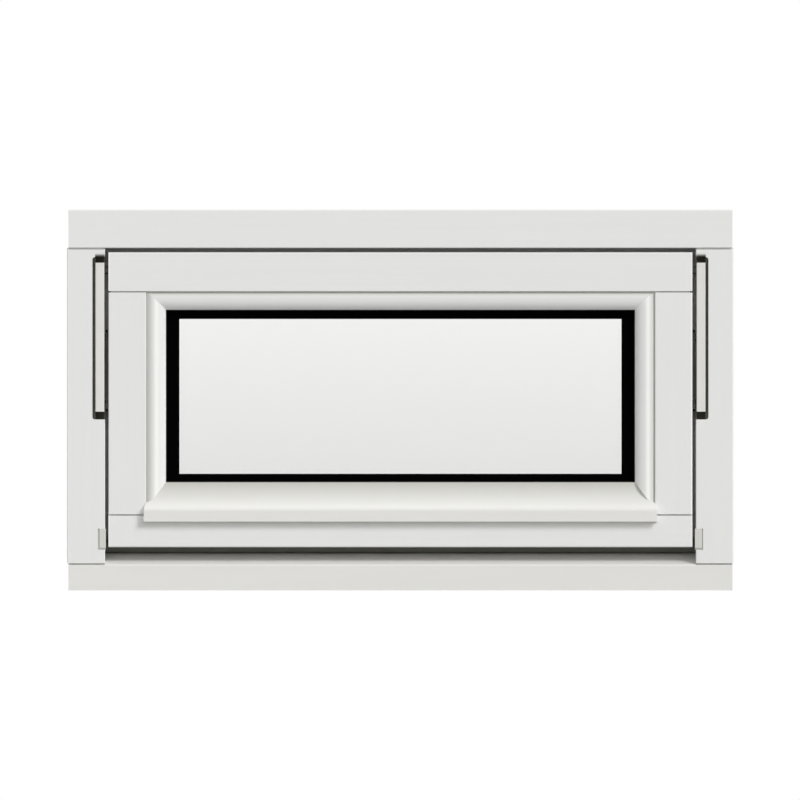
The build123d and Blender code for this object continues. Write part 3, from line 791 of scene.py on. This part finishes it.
# %% Path of the handle's lever
rose_low, rose_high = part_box("handle_rose")
lever_low, lever_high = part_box("handle_lever")
handle_height = (lever_low.z + lever_high.z) / 2
neck_radius = abs(lever_low.x)
lever_half_height = (lever_high.z - lever_low.z) / 2
bend_radius = 14.0 * millimetre
neck_run = lever_high.y - neck_radius - bend_radius - rose_high.y
bend_run = bend_radius * math.pi / 2
lever_run = lever_high.x - bend_radius
whole_run = neck_run + bend_run + lever_run


def lever_path(s):
    """Centre (x, y) and turn t of the path at distance s: straight, a quarter circle, and straight again.

    In the bend t = s / R, and the centre is (R (1 - cos t), start + neck + R sin t).
    """
    t = np.clip((s - neck_run) / bend_radius, 0, math.pi / 2)
    past = np.maximum(s - neck_run - bend_run, 0)
    x = bend_radius * (1 - np.cos(t)) + past
    y = rose_high.y + np.minimum(s, neck_run) + bend_radius * np.sin(t)
    return x, y, t


print("the lever's path is", round(whole_run / millimetre, 1), "mm long")

# %% [markdown]
# The section is a superellipse, a circle whose power can be raised until it is nearly a rectangle. It
# starts as the neck's circle and grows squarer and taller round the bend, by a smooth step so that no
# crease shows. At the tip it shrinks along half an ellipse, so the end is rounded too.

# %% Section of the handle's lever
tip_round = 9.0 * millimetre
round_power, square_power = 2.0, 3.2
change_starts, change_takes = 0.6 * neck_run, 1.4 * bend_run


def lever_section(s):
    """Half size across, half size up, and power m of the section at distance s.

    With b from 0 to 1 round the bend and smoothed to b b (3 - 2 b), m goes from 2 to 3.2 and the half size
    up from the neck's radius to half the lever's height. Near the tip both half sizes are multiplied by
    sqrt(1 - u u), where u runs from 0 to 1.
    """
    b = np.clip((s - change_starts) / change_takes, 0, 1)
    b = b * b * (3 - 2 * b)
    u = np.clip((s - whole_run + tip_round) / tip_round, 0, 1)
    shrink = np.sqrt(np.maximum(1 - u * u, 0))
    half_up = (neck_radius + (lever_half_height - neck_radius) * b) * shrink
    return neck_radius * shrink, half_up, round_power + (square_power - round_power) * b


print("the section's power at neck and tip:", lever_section(np.array([0.0, whole_run]))[2].round(2).tolist())

# %% [markdown]
# Path and section together give the grid. The rows crowd together at the tip, at equal angles of its
# rounding, because that is where the surface turns fastest.

# %% Cast lever
tip_rows = 14


def lever_rows(row_count, around):
    """Rows of the lever at distance s, with points at angle a round each.

    Across the path a point lies at w |cos a|^(2/m) sign(cos a), and up at h |sin a|^(2/m) sign(sin a).
    Across is the direction (-cos t, sin t).
    """
    tip = tip_round * np.sin(np.linspace(0, math.pi / 2, tip_rows))
    tip_start = whole_run - tip_round
    s = np.concatenate([[0.0], np.linspace(0, tip_start, row_count), tip_start + tip[1:]])
    x, y, t = (value[:, None] for value in lever_path(s))
    half_across, half_up, power = (value[:, None] for value in lever_section(s))
    a = np.linspace(0, 2 * math.pi, around, endpoint=False)
    across_path = half_across * np.sign(np.cos(a)) * np.abs(np.cos(a)) ** (2 / power)
    up_path = half_up * np.sign(np.sin(a)) * np.abs(np.sin(a)) ** (2 / power)
    return np.stack([x - across_path * np.cos(t), y + across_path * np.sin(t), handle_height + up_path], axis=-1)


lever = add_piece("cast_lever", close_grid(lever_rows(row_count=120, around=64)), handle_metal)
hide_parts("handle_lever")

# %% [markdown]
# The rose is a small plate with round ends, a soft shoulder and a raised collar round the neck. Its outline
# is a circle pulled apart by a straight stretch. Each row of the plate is that outline drawn in by some
# distance, at some depth.

# %% Plate of the handle's rose
rose_radius = rose_high.x
rose_straight = (rose_high.z - rose_low.z) / 2 - rose_radius
shoulder, shoulder_rows = 3.0 * millimetre, 9
rose_flat = 0.5 * millimetre


def rose_plate(a):
    """Rows of the rose's plate, back to front, at the angles a.

    A row drawn in by d at depth y is ((R - d) cos a, y, (R - d) sin a + L sign(sin a)), with R the end
    radius and L half the straight stretch. The shoulder has d = r (1 - sin b), y = top - r (1 - cos b).
    """
    b = np.radians(np.linspace(90, 0, shoulder_rows))
    base, top = rose_low.y, rose_high.y
    drawn_in = np.concatenate([[0.0], shoulder * (1 - np.sin(b)), [shoulder + rose_flat]])[:, None]
    depth = np.concatenate([[base], top - shoulder * (1 - np.cos(b)), [top]])[:, None]
    x = (rose_radius - drawn_in) * np.cos(a)
    z = (rose_radius - drawn_in) * np.sin(a) + rose_straight * np.sign(np.sin(a))
    return np.stack([x, np.broadcast_to(depth, x.shape), z], axis=-1)


print("the rose's shoulder has radius", round(shoulder / millimetre, 1), "mm")

# %% [markdown]
# Towards the middle the rows shrink to circles, climb the collar and go in under the neck. Two rows at the
# very ends lie on the middle line, for the fans that shut the piece. Half a step in the angles keeps
# every point off the line where the outline's two halves are pulled apart.

# %% Cast rose
collar_radius = neck_radius + 3.0 * millimetre
collar_rise = 1.2 * millimetre
collar_foot, collar_edge = 1.0 * millimetre, 0.8 * millimetre


def rose_collar(a):
    """Rows of the collar, foot to top: circles (c cos a, y, c sin a) that shrink as they rise."""
    reach = np.array([
        collar_radius + collar_foot, collar_radius, collar_radius - collar_edge, neck_radius * 0.5,
    ])[:, None]
    rise = np.array([0.0, 0.5 * collar_rise, collar_rise, collar_rise])[:, None]
    depth = np.broadcast_to(rose_high.y + rise, (len(rise), len(a)))
    return np.stack([reach * np.cos(a), depth, reach * np.sin(a)], axis=-1)


def rose_rows(around):
    """Rows of the whole rose: the back's middle, the plate, the collar and the front's middle."""
    a = (np.arange(around) + 0.5) * 2 * math.pi / around
    plate, collar = rose_plate(a), rose_collar(a)
    middle_line = (0.0, 1.0, 0.0)
    rows = np.concatenate([plate[:1] * middle_line, plate, collar, collar[-1:] * middle_line])
    return rows + (0.0, 0.0, handle_height)


rose = add_piece("cast_rose", close_grid(rose_rows(around=96)), handle_metal)
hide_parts("handle_rose")

# %% [markdown]
# Screws hold the rose and the sash plates. Their heads have a cross recess. Its outline is a plus sign,
# which in polar form is one formula, so the head is still a grid: rows from the bottom of the recess up
# its wall, over the dome to the rim, and down the shank. Sizes are shares of the head's radius.

# %% Screw
screw_around = 48
cross_arm, cross_half_arm, cross_depth, cross_foot = 0.62, 0.15, 0.25, 0.6
dome_start, dome_rows = 0.75, 5
shank_share = 0.5


def screw_rows(radius, rise, sink):
    """Rows of a screw with its axis along z: a domed head that rises from 0, on a shank that sinks below.

    At angle a the recess reaches c = max(min(L / |cos a|, w / |sin a|), min(L / |sin a|, w / |cos a|)), the
    outline of a plus sign with arms L long and w half wide. The dome is rise (1 - (r / radius)^2 / 2).
    """
    a = (np.arange(screw_around) + 0.5) * 2 * math.pi / screw_around
    cosine, sine = np.abs(np.cos(a)), np.abs(np.sin(a))
    arm, half_arm = cross_arm * radius, cross_half_arm * radius
    plus = np.maximum(np.minimum(arm / cosine, half_arm / sine), np.minimum(arm / sine, half_arm / cosine))
    dome = np.linspace(dome_start, 1.0, dome_rows)[:, None] * radius * np.ones(screw_around)
    reach = np.concatenate([[0 * a], [cross_foot * plus], [plus], dome])
    height = rise * (1 - (reach / radius) ** 2 / 2)
    height[:2] = -cross_depth * radius
    shank = shank_share * radius
    rim = np.array([radius, shank, shank, 0.0])[:, None] * np.ones(screw_around)
    rim_height = np.array([0.0, 0.0, -sink, -sink])[:, None] * np.ones(screw_around)
    reach, height = np.concatenate([reach, rim]), np.concatenate([height, rim_height])
    return np.stack([reach * np.cos(a), reach * np.sin(a), height], axis=-1)


print("a screw has", len(screw_rows(1.0, 0.5, 2.0)), "rows of", screw_around)

# %% [markdown]
# The rose's two screws have their heads towards the room. Their rows are turned by taking the screw's
# axis, the third coordinate, as y.

# %% Rose screws
rose_screw_rows = screw_rows(radius=2.8 * millimetre, rise=1.4 * millimetre, sink=6 * millimetre)
rose_screw_spread = 17.5 * millimetre
add_piece(
    "rose_screws",
    close_grid(rose_screw_rows[..., [0, 2, 1]]),
    handle_metal,
    places=[(0.0, rose_high.y, handle_height + up) for up in (-rose_screw_spread, rose_screw_spread)],
)

# %% [markdown]
# Each sash plate has four small screws, sunk in its holes with their heads towards the jamb. Their axis
# becomes x, and the left plate's are the right plate's mirrored.

# %% Plate screws
plate_low, plate_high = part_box("sash_plate_right")
plate_line = (plate_low.y + plate_high.y) / 2
plate_middle = (plate_low.z + plate_high.z) / 2
head_sunk = 0.6 * millimetre
plate_screw_rows = screw_rows(radius=2.1 * millimetre, rise=0.3 * millimetre, sink=12 * millimetre)
hole_heights = [plate_middle + up * millimetre for up in (-86.0, -43.0, 43.0, 86.0)]
for side_name, side in (("left", -1), ("right", 1)):
    add_piece(
        "plate_screws_" + side_name,
        close_grid(plate_screw_rows[..., [2, 0, 1]] * (side, 1, 1)),
        dark_steel,
        places=[(side * (sash_side - head_sunk), plate_line, z) for z in hole_heights],
    )

# %% [markdown]
# The floor only shows in views from above. It is wide enough that its far edge never does. The eye sees it
# pale, with the window's shadow on it, while what it throws back up is held down, as a grey cloth under the
# window would do; otherwise every slope that faces down would glow.

# %% Floor
floor_half = 40.0
corners = floor_half * np.array([(-1, -1, 0), (1, -1, 0), (1, 1, 0), (-1, 1, 0)], float)
floor_mesh = bpy.data.meshes.new("floor")
floor_mesh.from_pydata(corners.tolist(), [], [(0, 1, 2, 3)])
floor = bpy.data.objects.new("floor", floor_mesh)
bpy.context.scene.collection.objects.link(floor)
print("floor", 2 * floor_half, "m wide")

# %% [markdown]
# The floor's paint glows a little, so that it fades into the white ground behind it without a line. The
# Light Path node tells a look from a bounce of matt light, and gives the bounce the grey cloth.

# %% Floor paint
floor_paint, floor_tree, floor_shader = start_material("pale_floor", {
    "Base Color": (0.90, 0.90, 0.895, 1),
    "Roughness": 0.9,
    "Specular IOR Level": 0.1,
    "Emission Color": (1, 1, 1, 1),
    "Emission Strength": 0.16,
})
floor_ray = add_node(floor_tree, "ShaderNodeLightPath")
grey_cloth = add_node(floor_tree, "ShaderNodeBsdfDiffuse", {"Color": (0.35, 0.35, 0.345, 1)})
mix_shaders(floor_tree, floor_ray.outputs["Is Diffuse Ray"], floor_shader, grey_cloth)
floor_mesh.materials.append(floor_paint)
print("floor paint", floor_paint.name)

# %% [markdown]
# The light is a studio's. A broad key lamp high on the right, so far off that its rays are parallel,
# brightens every slope that faces up or right and softens its own shadows. A weaker one in front fills,
# a faint narrow one shines straight into the gaps, and one behind lights the room side. The two in front
# would stand in the glass as bright discs, so mirrors and glass don't see them.

# %% Lamps


def parallel_lamp(name, direction, strength, spread):
    """A lamp at infinity that shines from a direction, with its disc spread over so many degrees."""
    data = bpy.data.lights.new(name, "SUN")
    data.energy = strength
    data.angle = math.radians(spread)
    lamp = bpy.data.objects.new(name, data)
    lamp.rotation_mode = "QUATERNION"
    lamp.rotation_quaternion = Vector(direction).to_track_quat("Z", "Y")
    lamp.location = direction
    bpy.context.scene.collection.objects.link(lamp)
    return lamp


key_lamp = parallel_lamp("key_lamp", (0.60, -0.60, 0.62), strength=2.0, spread=22.0)
front_lamp = parallel_lamp("front_lamp", (0.0, -0.98, 0.18), strength=0.70, spread=40.0)
gap_lamp = parallel_lamp("gap_lamp", (0.0, -1.0, 0.0), strength=0.08, spread=0.5)
room_lamp = parallel_lamp("room_lamp", (-0.45, 0.85, 0.28), strength=1.3, spread=35.0)
for plain_lamp in (front_lamp, gap_lamp):
    plain_lamp.visible_glossy = False
    plain_lamp.visible_transmission = False
print("lamps", key_lamp.name, front_lamp.name, gap_lamp.name, room_lamp.name)

# %% [markdown]
# The surround has three jobs. Looked at directly, or through the glass, it is a white ground. As a
# light on matt surfaces it is a dimmer, even fill. In mirrors it is dark straight in front of the window,
# as a studio with its lights off behind the camera, so that the glass and its black edge stay clear.
# The first step is to tell which job a ray asks for.

# %% What the surround is asked for
world = bpy.data.worlds.new("surround")
bpy.context.scene.world = world
world.use_nodes = True
sky = world.node_tree
sky.nodes.clear()
ray = add_node(sky, "ShaderNodeLightPath").outputs
half_a_bounce = 0.5
before_matt = combine(sky, "LESS_THAN", ray["Diffuse Depth"], half_a_bounce)
through_glass = combine(sky, "MULTIPLY", ray["Is Transmission Ray"], before_matt)
seen = combine(sky, "MAXIMUM", ray["Is Camera Ray"], through_glass)
print("a ray that has met nothing matt sees the ground")

# %% [markdown]
# The three levels are then chosen one after the other. The mirror's level depends on the direction: the
# y of a ray that leaves straight to the front is -1, and between the two values the dark fades out.

# %% How bright the surround is
fill, ground = 0.39, 1.0
mirror_dark, mirror_bright = 0.01, 0.80
dark_until, bright_from = -0.97, -0.80

heading = add_node(sky, "ShaderNodeTexCoord")
heading_axes = add_node(sky, "ShaderNodeSeparateXYZ", {0: heading.outputs["Generated"]})
mirror_inputs = {"From Min": dark_until, "From Max": bright_from, "To Min": mirror_dark, "To Max": mirror_bright}
mirror_level = add_node(sky, "ShaderNodeMapRange", {"Value": heading_axes.outputs["Y"], **mirror_inputs})
light_level = mix_numbers(sky, ray["Is Glossy Ray"], fill, mirror_level.outputs[0])
level = mix_numbers(sky, seen, light_level, ground)
background = add_node(sky, "ShaderNodeBackground", {"Color": (1, 1, 1, 1), "Strength": level})
add_node(sky, "ShaderNodeOutputWorld", {"Surface": background.outputs[0]})
print("surround seen at", ground, "fills at", fill)

# %% [markdown]
# The picture is an elevation: no perspective, square on. An orthographic camera gives exactly that. Its
# scale is the width of ground that the picture's frame takes in. It looks at the window's middle height,
# half a millimetre left of the middle, as the picture does.

# %% Camera
picture_width = 0.9454
aim_across, camera_depth, aim_height = -0.0005, -3.0, 0.2250
camera_data = bpy.data.cameras.new("elevation_camera")
camera_data.type = "ORTHO"
camera_data.ortho_scale = picture_width
camera_data.clip_end = 50.0
camera = bpy.data.objects.new("elevation_camera", camera_data)
camera.location = (aim_across, camera_depth, aim_height)
camera.rotation_euler = (math.radians(90), 0, 0)
bpy.context.scene.collection.objects.link(camera)
bpy.context.scene.camera = camera
print("camera takes in", picture_width, "m")
